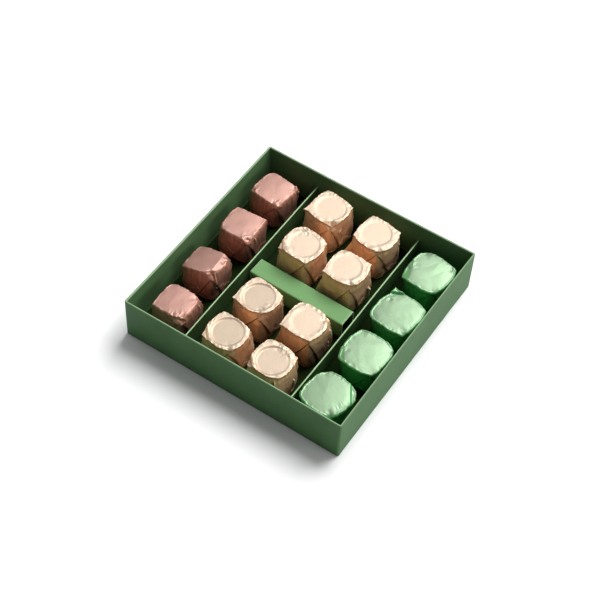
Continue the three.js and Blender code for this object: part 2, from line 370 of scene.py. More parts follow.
def square_path(half, radius):
    """Points round a square: an arc at each corner, then even steps to where the next starts."""
    path = []
    for corner in range(4):
        start = radians(90 * corner)
        arc = start + np.linspace(0, pi / 2, CORNER_STEPS + 1)
        diagonal = np.array([cos(start + pi / 4), sin(start + pi / 4)])
        middle = (half - radius) * sqrt(2) * diagonal
        bend = middle + radius * np.stack([np.cos(arc), np.sin(arc)], axis=-1)
        forward = np.array([-sin(start + pi / 2), cos(start + pi / 2)])
        run = 2 * (half - radius) * np.linspace(0, 1, SIDE_STEPS + 1)[1:-1, None]
        path += [bend, bend[-1] + run * forward]
    return np.vstack(path)


# %% Sweep the tray
ROUND_STEPS = 6
WALL_STEPS = 14
BAND = 1.2
UNDER_SHARES = (0.25, 0.6, 0.95)
FLOOR_SHARES = (0.998, 0.9, 0.7, 0.45, 0.2)
# The marks on the rows: a painted highlight on the rim's two rounds, painted light on the inner
# walls, a slightly paler foot round, and painted shade on the floor.
FOOT_PALE, RIM_PAINTED_HIGHLIGHT, LIP_PAINTED_HIGHLIGHT, INSIDE_PAINTED_LIGHT, FLOOR_PAINTED_SHADE = 0.1, 0.15, 0.8, 0.12, -1


def tray_rows():
    """The section as rows of half width, corner radius, height and mark, from foot to floor.

    The foot, the rim's outside and its inside are quarter circles of the radius RIM_ROUND.
    Between them the walls have even rows that keep BAND away from the foot and the rim.
    """
    r, half, inner, top = RIM_ROUND, TRAY_HALF, TRAY_HALF - WALL, TRAY_HEIGHT
    turn = [(r * sin(a), r * cos(a)) for a in np.linspace(0, pi / 2, ROUND_STEPS)]
    up = np.linspace(BAND, top - BAND, WALL_STEPS)
    down = np.linspace(top - BAND, FLOOR_BOARD + 0.3, WALL_STEPS)
    rows = [(half * share, OUTER_CORNER * share, 0, 0) for share in UNDER_SHARES]
    rows += [(half - r + s, OUTER_CORNER - r + s, r - c, FOOT_PALE) for s, c in turn]
    rows += [(half, OUTER_CORNER, z, 0) for z in up]
    rows += [(half - r + c, OUTER_CORNER - r + c, top - r + s, RIM_PAINTED_HIGHLIGHT) for s, c in turn]
    rows += [(inner + r - s, INNER_CORNER + r - s, top - r + c, LIP_PAINTED_HIGHLIGHT) for s, c in turn]
    rows += [(inner, INNER_CORNER, z, INSIDE_PAINTED_LIGHT) for z in down]
    rows += [(inner * share, INNER_CORNER * share, FLOOR_BOARD, FLOOR_PAINTED_SHADE) for share in FLOOR_SHARES]
    return np.array(rows)


def make_tray():
    """Stacks a square path for each row of the section and leans the walls in."""
    rows = tray_rows()
    count = 4 * (CORNER_STEPS + SIDE_STEPS)
    grid = np.stack([np.column_stack([square_path(half, radius), np.full(count, z)])
                     for half, radius, z, _ in rows])
    x, y, z = np.moveaxis(grid, -1, 0)
    wall = (rows[:, 0] > TRAY_HALF - WALL - 0.1)[:, None] * (z / TRAY_HEIGHT)
    lean_x = WALL_LEAN * wall * (1 - (y / TRAY_HALF) ** 2) * (np.abs(x) > np.abs(y))
    lean_y = WALL_LEAN * wall * (1 - (x / TRAY_HALF) ** 2) * (np.abs(y) > np.abs(x))
    grid[..., 0] -= lean_x * np.sign(x)
    grid[..., 1] -= lean_y * np.sign(y)
    mark = np.broadcast_to(rows[:, 3:4], grid.shape[:2])
    return skin("tray_board", grid, green_paper, "tray", mark)


tray = make_tray()
print("Tray:", len(tray.data.polygons), "faces")

# %% [markdown]
# ## The dividers
#
# A divider is a strip of card under 1 mm thick that stands on its long edge between two walls. It
# is pushed in by hand, so it bows slightly. Its section is a rounded rectangle, pushed along the
# strip in small steps so that the strip can bend. The section has more points near its top, where
# the mark changes from the side, painted dark as painted shade, to the pale cut edge.

# %% Stand the dividers
CARD_ROUND = 0.22
DIVIDER_STEPS = 90
CARD_WAVE = 0.12
CARD_WAVE_PITCH = 17
SIDE_PAINTED_SHADE = -0.75
CUT_EDGE = 0.5
CUT_BLEND = 0.3


def rounded_section(width, height, radius, steps=5):
    """A rectangle with round corners, clockwise from the lower right, with points up its sides."""
    even = np.linspace(-height / 2 + 1, height / 2 - 4, 5)
    side = np.concatenate([even, height / 2 - np.array([2, 1, 0.6])])
    points = []
    for number, (sx, sz) in enumerate([(1, -1), (-1, -1), (-1, 1), (1, 1)]):
        start = radians(-90 * number)
        arc = start - np.linspace(0, pi / 2, steps)
        points.append(np.stack([sx * (width / 2 - radius) + radius * np.cos(arc),
                                sz * (height / 2 - radius) + radius * np.sin(arc)], axis=-1))
        if number % 2:
            points.append(np.stack([np.full(len(side), sx * width / 2), side[::-sz]], axis=-1))
    return np.vstack(points)


def make_divider(name, bow, seed):
    """Pushes the section along Y and bends it, most at the top.

    x moves by bow times a half wave of cosine, and by CARD_WAVE times the sine of
    (y / CARD_WAVE_PITCH + seed).
    """
    low, high = [np.array(corner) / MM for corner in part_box(name)]
    size = high - low
    middle = (high + low) / 2
    section = rounded_section(size[0], size[2], CARD_ROUND)
    along = np.linspace(-size[1] / 2, size[1] / 2, DIVIDER_STEPS)
    grid = np.zeros((len(along), len(section), 3))
    grid[..., 0] = section[:, 0]
    grid[..., 2] = section[:, 1]
    grid[..., 1] = along[:, None]
    top = smoothstep((grid[..., 2] / size[2] + 0.5))
    wave = np.cos(pi * grid[..., 1] / size[1])
    ripple = np.sin(grid[..., 1] / CARD_WAVE_PITCH + seed)
    grid[..., 0] += bow * wave * top + CARD_WAVE * top * ripple
    # painted shade: the sides are mixed three quarters towards the dark tone; the top is the pale
    # cut edge
    cut = smoothstep((grid[..., 2] - size[2] / 2 + CUT_EDGE) / CUT_BLEND)
    mark = (1 - SIDE_PAINTED_SHADE) * cut + SIDE_PAINTED_SHADE
    return skin(name + "_card", grid + middle, green_card, name, mark)


dividers = [make_divider("divider_left", -0.3, 1.0), make_divider("divider_right", 0.25, 3.0)]
print("Dividers:", [len(piece.data.polygons) for piece in dividers])

# %% [markdown]
# ## The bridge
#
# The bridge is a strip of the same card with two scored folds, which make it an upside-down U. A
# scored fold is round on the outside. The section is drawn as one closed ring, outside first and
# then back along the inside, and pushed along X.

# %% The bridge's section
BRIDGE_LENGTH = 73.8
BRIDGE_WIDTH = 13.8
BRIDGE_HEIGHT = 15.5
BRIDGE_CENTRE = (-0.8, 0.5)
BRIDGE_TURN = radians(-1.3)
BRIDGE_STEPS = 50
CARD = 0.8
FOLD = 1.1
FOLD_STEPS = 7
SAG = 0.25
SAG_PITCH = 20


def u_section(half, height, fold, steps):
    """One side of the card: up the leg at +half, round the fold, across, round, down at −half."""
    arc = np.linspace(0, pi / 2, steps)
    right = np.stack([half - fold + fold * np.cos(arc),
                      height - fold + fold * np.sin(arc)], axis=-1)
    across = np.linspace(half - fold, fold - half, 9)[1:-1]
    top = np.stack([across, np.full_like(across, height)], axis=-1)
    left = right[::-1] * [-1, 1]
    up = np.stack([np.full(6, half), np.linspace(0, height - fold, 7)[:-1]], axis=-1)
    return np.vstack([up, right, top, left, up[::-1] * [-1, 1]])


# %% Fold the bridge
def close_tube(name, grid, material, node, mark, half_count):
    """Closes a pushed U. Each end is a strip of quads between the ring's outside and inside."""
    index, _, quads = ring_quads(*grid.shape[:2])
    out, back = index[:, :half_count], index[:, half_count:][:, ::-1]
    start = np.stack([out[0, 1:], out[0, :-1], back[0, :-1], back[0, 1:]], axis=-1)
    end = np.stack([out[-1, :-1], out[-1, 1:], back[-1, 1:], back[-1, :-1]], axis=-1)
    faces = quads.tolist() + start.tolist() + end.tolist()
    points = grid.reshape(-1, 3)
    return finish_piece(name, points, faces, material, node, mark.reshape(-1))


def make_bridge():
    """Joins the U's outside and inside into a ring, and lets the top sag between the folds.

    The sag is a parabola across the card times the cosine of (x / SAG_PITCH) along it.
    """
    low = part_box("bridge")[0][2] / MM
    outside = u_section(BRIDGE_WIDTH / 2, BRIDGE_HEIGHT, FOLD, FOLD_STEPS)
    inside = u_section(BRIDGE_WIDTH / 2 - CARD, BRIDGE_HEIGHT - CARD, FOLD - CARD, FOLD_STEPS)
    section = np.vstack([outside, inside[::-1]])
    along = np.linspace(-BRIDGE_LENGTH / 2, BRIDGE_LENGTH / 2, BRIDGE_STEPS)
    grid = np.zeros((len(along), len(section), 3))
    grid[..., 0] = along[:, None]
    grid[..., 1] = section[:, 0]
    grid[..., 2] = section[:, 1]
    across = 1 - (grid[..., 1] / (BRIDGE_WIDTH / 2)) ** 2
    high = smoothstep(grid[..., 2] / BRIDGE_HEIGHT)
    grid[..., 2] -= SAG * across * high * np.cos(grid[..., 0] / SAG_PITCH)
    mark = np.zeros(grid.shape[:2])
    mark[[0, -1]] = 1
    c, s = cos(BRIDGE_TURN), sin(BRIDGE_TURN)
    grid[..., :2] = grid[..., :2] @ np.array([[c, s], [-s, c]]) + BRIDGE_CENTRE
    grid[..., 2] += low
    return close_tube("bridge_card", grid, green_card, "bridge", mark, len(outside))


bridge = make_bridge()
print("Bridge:", len(bridge.data.polygons), "faces")

# %% [markdown]
# ## The pralines: outline
#
# Under the foil is a barrel with a rounded square section. The foil is laid over the top and
# folded down the sides, and where it turns a corner the spare foil stands out as an ear. One
# formula draws both: a superellipse for each quarter, which grows from round to square as its
# power rises, with its own half width on each side. A corner that reaches further than that is
# drawn out into a pointed ear.

# %% Outlines
COLUMNS = 264
EAR_SPREAD = 7.5
ANGLE = np.arange(COLUMNS) * 2 * pi / COLUMNS
QUARTER = (ANGLE // (pi / 2)).astype(int) % 4
AWAY = np.abs(np.degrees(ANGLE) % 90 - 45)
SIDE = np.round(ANGLE / (pi / 2)).astype(int) % 4
EAST_WEST = np.where(np.cos(ANGLE) >= 0, 0, 2)
NORTH_SOUTH = np.where(np.sin(ANGLE) >= 0, 1, 3)


def outline(halves, reaches, roundness):
    """Radius of |x / a|^n + |y / b|^n = 1 in each quarter, drawn out at the corner.

    halves are the half widths to the east, north, west and south. reaches are the corners'
    distances from the axis, counterclockwise from the north-east. n makes the corner stand at its
    reach, or at the mean half width times √2 / roundness where that is less: a roundness of 1 is
    a square corner, and √2 a circle. The rest of the reach is an ear: a factor that falls off as
    e to the minus (degrees from the corner / EAR_SPREAD).
    """
    halves, reach = np.array(halves), np.array(reaches)[QUARTER]
    a, b = halves[EAST_WEST], halves[NORTH_SOUTH]
    corner = np.sqrt(2 * a * b)
    rounded = np.minimum(reach, corner / np.array(roundness)[QUARTER])
    n = log(2) / np.log(corner / rounded)
    radius = ((np.abs(np.cos(ANGLE)) / a) ** n + (np.abs(np.sin(ANGLE)) / b) ** n) ** (-1 / n)
    return radius * (1 + (reach / rounded - 1) * np.exp(-AWAY / EAR_SPREAD))


# %% [markdown]
# ## The pralines: levels
#
# Each kind has a list of levels up its side: the height, how much of the collar's outline counts
# there, and a scale. Rows are laid between the levels at an even spacing and then softened, so
# that a level leaves no kink. The rows of the top only shrink the collar's outline towards the
# middle. What the top looks like, its dimple or its dome, is worked out from x and y.
#
# barrel is the half width of the body, foot_reach how far its corners reach at the foot, and
# roundness is for the collar's corners. facets and top_facets are how deep the foil crumples on
# the sides and on top, disc is how much flatter the dimple stays, and rim_slope how much the lip
# hangs. For the mark, shoulder is the depth where the side's painted bounce tint starts, line how
# dark the creases are painted, and foot how much darker the foil is painted towards the foot, both
# painted shade.

# %% Kinds of praline
ROW_SPACING = 0.38
TOP_ROWS = 46
SHOULDER_REACH = 15.6

KINDS = {
    "gold": {
        "height": 28.7, "barrel": 13.1, "foot_reach": 16.4, "roundness": (1.32, 1.22, 1.3, 1.3),
        "levels": [(0, 0, 0.95), (0.2, 0, 0.975), (0.9, 0, 1.0), (6, 0, 1.05), (12, 0, 1.045),
                   (18, 0.05, 1.0), (22.6, 0.3, 0.965), (25.6, 0.65, 0.955), (27.1, 0.92, 0.965),
                   (28.0, 1, 0.99), (28.45, 1, 1.0), (28.7, 1, 0.985)],
        "facets": 0.42, "top_facets": 0.07, "disc": 0.7, "rim_slope": 0.03,
        "shoulder": 0.3, "line": 0.75, "foot": 0.0,
    },
    "rose": {
        "height": 24.2, "barrel": 12.9, "foot_reach": 16.2, "roundness": (1.2,) * 4,
        "levels": [(0, 0, 0.94), (0.2, 0, 0.965), (1, 0, 0.98), (6, 0, 1), (12, 0, 1.005),
                   (16.5, 0.3, 0.985), (19.4, 0.7, 0.965), (21.6, 0.95, 0.975), (22.9, 1, 0.965),
                   (23.7, 1, 0.94), (24.2, 1, 0.89)],
        "facets": 0.26, "top_facets": 0.10, "disc": 0, "rim_slope": 0.0,
        "shoulder": 1.6, "line": 0.3, "foot": 0.2,
    },
    "mint": {
        "height": 21.4, "barrel": 13.0, "foot_reach": 16.0, "roundness": (1.25,) * 4,
        "levels": [(0, 0, 0.94), (0.2, 0, 0.965), (1, 0, 0.98), (6, 0, 1), (11, 0.1, 1),
                   (15.0, 0.35, 0.985), (17.4, 0.65, 0.975), (18.9, 0.92, 0.98), (19.9, 1, 0.995),
                   (20.6, 1, 0.99), (21.1, 1, 0.965), (21.4, 1, 0.92)],
        "facets": 0.3, "top_facets": 0.11, "disc": 0, "rim_slope": 0.05,
        "shoulder": 0.8, "line": 0.5, "foot": 0.1,
    },
}


def wall_rows(kind):
    """Rows of height, collar share and scale, evenly spaced along the lines of the levels.

    The distance between two levels is taken in millimetres, with the scale times the barrel.
    Each row is then the mean of itself and its neighbours, weighted 1, 2, 1.
    """
    levels = np.array(kind["levels"])
    step = np.hypot(np.diff(levels[:, 0]), kind["barrel"] * np.diff(levels[:, 2]))
    travel = np.concatenate([[0], np.cumsum(step)])
    even = np.linspace(0, travel[-1], int(travel[-1] / ROW_SPACING))
    rows = np.stack([np.interp(even, travel, column) for column in levels.T], axis=-1)
    rows[1:-1] = (rows[:-2] + 2 * rows[1:-1] + rows[2:]) / 4
    return rows


# %% [markdown]
# ## The pralines: folds
#
# On each side the foil that comes down from the top makes a V. Its two creases start at the ears
# and nearly meet at the foot, and the folded corners lie under it. The V stands proud and ends in a
# sharp step, and the foil beside it sinks towards the step, so the two lie at different angles and
# take different tones. That, with the dark line painted between them as painted shade, is what the
# eye reads as a fold.

# %% Folds down the sides
SIDE_HALF = 12.4
FOLD_LIFT = 0.75
FOLD_SINK = 0.55
SINK_REACH = 2.5
TUCK_LIFT = 0.4
CREASE = 0.28


def side_folds(x, y, depth, up, slopes, tucks):
    """Relief of the folds in millimetres, and where their dark lines of painted shade lie.

    across is the distance along the side from its middle. A crease starts at a corner of the side
    and comes in by its slope for each millimetre of depth. inside is the distance to the nearer
    crease: where it is positive the V stands proud, where it is negative the foil sinks by
    FOLD_SINK times e to the (inside / SINK_REACH). A lower V, turned up from the foot, does the
    same. A narrow groove runs along each crease.
    """
    facing = SIDE * pi / 2
    across = y * np.cos(facing) - x * np.sin(facing)
    left, right = np.array(slopes)[SIDE].T
    inside = np.minimum(across + SIDE_HALF - left * depth, SIDE_HALF - right * depth - across)
    begin = smoothstep((depth - 0.8) / 5)
    sink = FOLD_SINK * (inside < 0) * np.exp(inside / SINK_REACH)
    relief = FOLD_LIFT * smoothstep(inside / CREASE) - sink
    relief = begin * (relief - 0.3 * bump(inside + 0.2, 0.3))
    line = begin * bump(inside + 0.25, 0.4)
    slope, shift = np.array(tucks)[SIDE].T
    turned = np.minimum(across + SIDE_HALF + shift - slope * up,
                        SIDE_HALF - shift - slope * up - across)
    relief += TUCK_LIFT * smoothstep(turned / CREASE) - 0.2 * bump(turned + 0.3, 0.3)
    return relief, np.maximum(line, 0.7 * bump(turned + 0.25, 0.35))


# %% [markdown]
# ## The pralines: loose edges, fins and flaps
#
# Three more things happen to the spare foil. An edge of it can stand off the side and catch the
# light, and is painted brighter there as a painted highlight. Below each ear it is pinched into a
# thin upright fin. And a corner of the top can be folded down as a flap, or bent up. Each is a
# small formula of its own, added to the same grid.

# %% Loose edges, fins and flaps
SIDE_RADIUS = 14
FIN_SPREAD = 2.6
FLAP_EDGE = 0.5
FLAP_DIP = 0.6
FLAP_DIP_WIDTH = 0.45
FLAP_FADE = 5


def loose_edges(depth, edges):
    """Relief of loose edges of foil that stand off the side, and where their painted highlights
    lie.

    An edge runs straight from a direction and depth to another, with the side rolled out flat at
    SIDE_RADIUS. It is a bell of the distance to that line, with a half width and an amount in
    millimetres.
    """
    relief = np.zeros(np.broadcast(ANGLE, depth).shape)
    line = relief.copy()
    for start, top, end, low, width, amount in edges:
        across = np.radians((np.degrees(ANGLE) - start + 180) % 360 - 180) * SIDE_RADIUS
        run, fall = radians(end - start) * SIDE_RADIUS, low - top
        along = np.clip((across * run + (depth - top) * fall) / (run ** 2 + fall ** 2), 0, 1)
        near = bump(np.hypot(across - along * run, depth - top - along * fall), width)
        relief += amount * near
        line = np.maximum(line, near)
    return relief, line


def corner_fins(depth, fins):
    """A thin upright fin of spare foil on each corner, between 2 and 15 mm below the ear."""
    height = np.array(fins)[QUARTER]
    begin, end = smoothstep((depth - 2) / 3), smoothstep((15 - depth) / 5)
    return height * bump(AWAY, FIN_SPREAD) * begin * end


def lowered_flaps(x, y, depth, flaps):
    """How far each point drops where a corner of the foil is folded down.

    Past distance in a direction, the foil drops by amount within FLAP_EDGE, and then by slope for
    each further millimetre. The fold itself is a narrow dip. The drop fades with depth on the
    side, slowly enough that the side never crosses itself.
    """
    drop = np.zeros(np.broadcast(x, y).shape)
    for direction, distance, amount, slope in flaps:
        angle = radians(direction)
        beyond = x * cos(angle) + y * sin(angle) - distance
        fold = FLAP_DIP * min(abs(amount), 1) * bump(beyond, FLAP_DIP_WIDTH)
        bent = amount * smoothstep(beyond / FLAP_EDGE) + slope * np.maximum(beyond, 0) + fold
        drop += bent * np.exp(-depth / FLAP_FADE)
    return drop


# %% [markdown]
# ## The pralines: one surface
#
# Now the parts come together. The grid is built upright round its own axis, the relief moves each
# point along its normal, and only then is the piece leaned, turned and put in its place. The
# order matters: a normal taken after the relief would spread the creases.

# %% The plain grid and its top
BARREL_ROUNDNESS = (1.1,) * 4
UNDER_ROWS = 5
DIMPLE_RADIUS = 11.8
DIMPLE_WALL = 1.5
STAMP_TOWARDS = radians(35)
DOME = 0.35


def stack_outlines(kind, piece):
    """The plain grid's radius, with its height, share of the collar and share of the top's radius.

    The barrel's half widths are halfway between the kind's barrel and the collar's, and its
    corners stand out by the piece's skirt, most at 9 mm above the foot.
    """
    rows = wall_rows(kind)
    share = rows[:, 0] / kind["height"]
    rise = SHOULDER_REACH - kind["foot_reach"]
    reach = kind["foot_reach"] + rise * share[:, None]
    reach = reach + np.array(piece["skirt"]) * bump(rows[:, :1] - 9, 9)
    widths = np.minimum(np.array(piece["halves"]), kind["barrel"] + 1.5)
    halves = (kind["barrel"] + 0.2 + widths) / 2
    barrel = np.stack([outline(halves, corner, BARREL_ROUNDNESS) for corner in reach])
    roundness = piece.get("roundness", kind["roundness"])
    collar = outline(piece["halves"], piece["reach"], roundness) + piece["ripple"]
    wall = rows[:, 2:3] * (barrel + (collar - barrel) * rows[:, 1:2])
    inwards = rows[-1, 2] * np.linspace(1, 0.02, TOP_ROWS + 1)[1:, None]
    under = rows[0, 2] * np.linspace(0.05, 1, UNDER_ROWS + 1)[:-1, None]
    radius = np.vstack([under * barrel[0], wall, inwards * collar])
    below, above = np.zeros(UNDER_ROWS), np.full(TOP_ROWS, kind["height"])
    height = np.concatenate([below, rows[:, 0], above])[:, None]
    collar_share = np.concatenate([below, rows[:, 1], np.ones(TOP_ROWS)])[:, None]
    rim_share = np.concatenate([np.ones(UNDER_ROWS + len(rows)), inwards[:, 0]])[:, None]
    return radius, height, collar_share, rim_share


def top_form(kind_name, x, y, piece):
    """Height of the top's form: a dimple in gold, a slight dome in the others.

    The dimple's wall is steep in the north-east, where the stamp went in deeper, and softer
    opposite. disc_tilt is how many degrees its floor sinks, and in which direction.
    """
    distance = np.hypot(x - piece.get("dimple_x", 0.6), y)
    if kind_name == "gold":
        wall = DIMPLE_WALL + piece.get("soft", 1.1) * (1 - np.cos(ANGLE - STAMP_TOWARDS))
        dish = smoothstep((DIMPLE_RADIUS - distance) / wall)
        tilt, towards = [radians(part) for part in piece.get("disc_tilt", (0, 0))]
        plane = tan(tilt) * (x * cos(towards) + y * sin(towards))
        return -dish * (piece.get("dimple", 0.2) + plane)
    return DOME * (1 - (distance / 11) ** 2)


# %% [markdown]
# ## The pralines: relief and mark
#
# The relief adds facets of several sizes to the folds, fins and loose edges: broad ones on the
# sides, flatter ones on top, small ones along the lip, and pinched spots where fingers pressed
# the foil. The mark comes from the same numbers, so colour and shape can't drift apart.

# %% Relief of the foil
LIP_CRUMPLE = 0.18
SIDE_CRUMPLE = 0.08
STEEP_PAINTED_REFLECTION = 0.8


def side_mark(kind, piece, depth, wall, lines, upward):
    """The mark without loose edges: 0 on top, 1 below the lip for the painted bounce tint, and more
    in a crease and towards the foot, painted shade.

    upward is the Z part of the normal. Where the top is steep it takes some of the side's tint, as
    a painted reflection.
    """
    below_lip = smoothstep((depth - kind["shoulder"]) / 2.2)
    foot = piece.get("foot", kind["foot"]) * smoothstep(depth / 20)
    mark = below_lip * (piece.get("deep", 1) + kind["line"] * wall * lines + foot)
    return np.maximum(mark, STEEP_PAINTED_REFLECTION * smoothstep((0.93 - upward) / 0.12))


def add_facets(relief, kind, piece, grid, facing_up, wall, top_share, seed):
    """Adds facets of four sizes to the relief, and the piece's pinched spots."""
    x, y, _ = np.moveaxis(grid, -1, 0)
    stretched = grid * [1, 1, 0.55]
    broad = crumple(stretched, 8, seed) + 0.5 * crumple(stretched, 3.6, seed + 1)
    flat = 1 - kind["disc"] * smoothstep((11 - np.hypot(x, y)) / 1.5)
    rim = bump((top_share - 0.93), 0.1) * facing_up
    relief += kind["facets"] * wall * broad
    relief += kind["top_facets"] * facing_up * flat * crumple(grid, 6.5, seed + 2)
    relief += (LIP_CRUMPLE * rim + SIDE_CRUMPLE * wall) * crumple(grid, 1.9, seed + 3)
    for direction, distance, below, size, amount in piece["crumples"]:
        angle = radians(direction)
        spot = np.array([distance * cos(angle), distance * sin(angle),
                         kind["height"] - below])
        near = bump(np.linalg.norm(grid - spot, axis=-1), size)
        pinched = crumple(grid, 3.2, seed + 4) + 0.6 * crumple(grid, 1.6, seed + 5)
        relief += amount * near * pinched
    return relief


def relief_of(kind, piece, grid, normal, height, top_share, seed):
    """All the relief along the normal, and the mark, which is −1 on a loose edge, a painted
    highlight.
    """
    x, y, _ = np.moveaxis(grid, -1, 0)
    depth = kind["height"] - height
    wall = smoothstep(height / 1.5) * smoothstep(depth / 1.2)
    folds, lines = side_folds(x, y, depth, height, piece["slopes"], piece["tucks"])
    below_rim = smoothstep(depth / 1.5)
    loose, bright = [part * below_rim for part in loose_edges(depth, piece["edges"])]
    relief = wall * folds + corner_fins(depth, piece["fins"]) + loose
    mark = side_mark(kind, piece, depth, wall, lines, normal[..., 2])
    mark = mark - (mark + 1) * bright
    facing_up = smoothstep((normal[..., 2] - 0.5) / 0.4)
    return add_facets(relief, kind, piece, grid, facing_up, wall, top_share, seed), mark


# %% Build a praline
FLOOR_OF_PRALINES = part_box("praline_gold_1")[0][2] / MM
LIP_START = 11.5
LIP_TOWARDS = radians(-20)


def plain_grid(kind_name, piece):
    """The grid with ears, flaps, top form and lip, and each point's height and top share."""
    kind = KINDS[kind_name]
    radius, height, collar_share, top_share = stack_outlines(kind, piece)
    x = radius * np.cos(ANGLE)
    y = radius * np.sin(ANGLE)
    depth = kind["height"] - height
    ears = np.array(piece["droop"])[QUARTER] * bump(AWAY, EAR_SPREAD)
    droop = ears * collar_share * top_share ** 6
    z = height - droop - lowered_flaps(x, y, depth, piece["flaps"])
    z = z + (top_share < 1) * top_form(kind_name, x, y, piece)
    hang = 0.5 + 0.5 * np.cos(ANGLE - LIP_TOWARDS)
    past = np.maximum(np.hypot(x, y) - LIP_START, 0)
    z = z - kind["rim_slope"] * collar_share * hang * past
    grid = np.stack([x, y, z], axis=-1)
    return grid, np.broadcast_to(height, x.shape), np.broadcast_to(top_share, x.shape)


def place_grid(kind, piece, grid, height):
    """Leans the top by slope degrees towards slope_to, turns the piece and moves it into place."""
    lean = tan(radians(piece.get("slope", 0)))
    towards = radians(piece.get("slope_to", 0) - piece["turn"])
    downhill = grid[..., 0] * cos(towards) + grid[..., 1] * sin(towards)
    grid[..., 2] -= lean * (height / kind["height"]) ** 2 * downhill
    turn = radians(piece["turn"])
    east, north = grid[..., 0].copy(), grid[..., 1].copy()
    grid[..., 0] = east * cos(turn) - north * sin(turn) + piece["at"][0]
    grid[..., 1] = east * sin(turn) + north * cos(turn) + piece["at"][1]
    grid[..., 2] = np.maximum(grid[..., 2], 0) + FLOOR_OF_PRALINES
    return grid


def make_praline(kind_name, number, piece):
    """Builds the grid, adds the relief along its normals, and puts it in place of its CAD node."""
    kind = KINDS[kind_name]
    node = "praline_%s_%d" % (kind_name, number)
    seed = 100 * list(KINDS).index(kind_name) + 10 * number
    grid, height, top_share = plain_grid(kind_name, piece)
    normal = outward(grid)
    relief, mark = relief_of(kind, piece, grid, normal, height, top_share, seed)
    grid = place_grid(kind, piece, grid + normal * relief[..., None], height)
    return skin(node + "_foil", grid, foils[kind_name], node, mark)


# %% [markdown]
# ## The pralines: sixteen uneven pieces
#
# No two are alike. Each line says where a praline stands, how it is turned, its half widths, how
# far its four ears reach and how low they hang. Directions are in degrees, counterclockwise from
# the east, and lengths in millimetres.
#
# - flaps are corners folded down: a direction, a distance from the axis, a drop and a slope
# - edges stand off the side: direction and depth of both ends, half width and amount
# - crumples are spots of pinched foil: direction, distance, depth, size and amount
# - slope and slope_to lean the top, skirt spreads the foil above the foot
# - dimple, dimple_x, disc_tilt and soft shape the dimple in a gold top
# - deep and foot deepen the side's painted tint and its painted shade
#
# What isn't told is drawn from a seeded random generator, so it is the same every time.

# %% Rose pralines
ROSE = [
    dict(at=(-61.9, 57.9), turn=-7, halves=(13.6, 12.4, 13.0, 12.8),
         reach=(17.4, 16.1, 15.8, 17.2), droop=(1, 0.3, 0.8, 0.6),
         flaps=[(38, 14.3, -0.9, 0)], edges=[(40, 2, 46, 5, 0.35, 0.8)],
         crumples=[(318, 14.5, 1.5, 3.2, 1.2), (45, 15.5, 1, 3.2, 0.8), (225, 14, 1.5, 3, 0.6)]),
    dict(at=(-61.9, 19.6), turn=3, halves=(13.4, 12.4, 12.6, 12.4),
         reach=(18.2, 16.3, 14.8, 16.2), droop=(0.3, 0.2, 0.5, 0.8),
         edges=[(338, 2, 342, 8, 0.35, 0.9)],
         crumples=[(312, 14.5, 1, 3.6, 1.3), (345, 13, 2, 3, 0.6)]),
    dict(at=(-63.0, -19.6), turn=4, halves=(13.4, 12.2, 12.6, 13.0),
         reach=(15.0, 16.2, 17.6, 13.6), droop=(0.8, 0.3, 1.0, 1.2), slope=12, slope_to=140,
         flaps=[(4, 7.9, 0, 0.34), (308, 11.6, 0.9, 0)],
         edges=[(326, 2, 326, 13, 0.4, 0.5), (326, 13, 352, 14, 0.4, 0.5)],
         crumples=[(318, 14, 3, 3, 1.0), (20, 13.5, 1.5, 3, 0.8)]),
    dict(at=(-59.2, -58.0), turn=0, halves=(13.2, 12.2, 12.8, 12.4),
         reach=(14.6, 15.4, 17.0, 15.4), droop=(0.8, 0.3, 0.2, 1.4),
         edges=[(298, 3, 325, 4, 0.35, 0.9), (28, 3, 30, 7, 0.35, 0.8)],
         crumples=[(315, 14.5, 1.5, 4, 1.4), (285, 13, 1.5, 3, 0.8)]),
]

# %% Gold pralines
STAMPED = dict(disc_tilt=(2.6, 205), dimple=0.66, soft=0.5)

